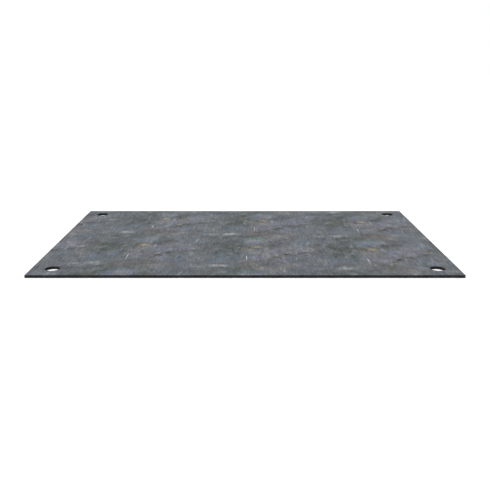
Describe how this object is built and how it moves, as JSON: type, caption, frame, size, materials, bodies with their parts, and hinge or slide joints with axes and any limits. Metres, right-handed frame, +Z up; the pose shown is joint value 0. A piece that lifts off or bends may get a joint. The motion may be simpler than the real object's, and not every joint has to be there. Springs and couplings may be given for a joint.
{
  "type": "steel plate",
  "caption": "Flat rectangular steel road plate with square edges and a round lifting hole near each corner, laid over a trench or soft ground.",
  "frame": {"origin": "middle of the underside, on the ground the plate lies on", "axes": "+X along the length, +Y across the width towards the back, +Z up through the thickness"},
  "size_m": [3, 2, 0.02],
  "materials": {
    "steel": "matt blue-grey mill scale with fine lengthways scuffs and specks of rust; edges and hole walls cut and nearly black"
  },
  "bodies": {
    "root": {"plate": "steel"}
  },
  "joints": []
}
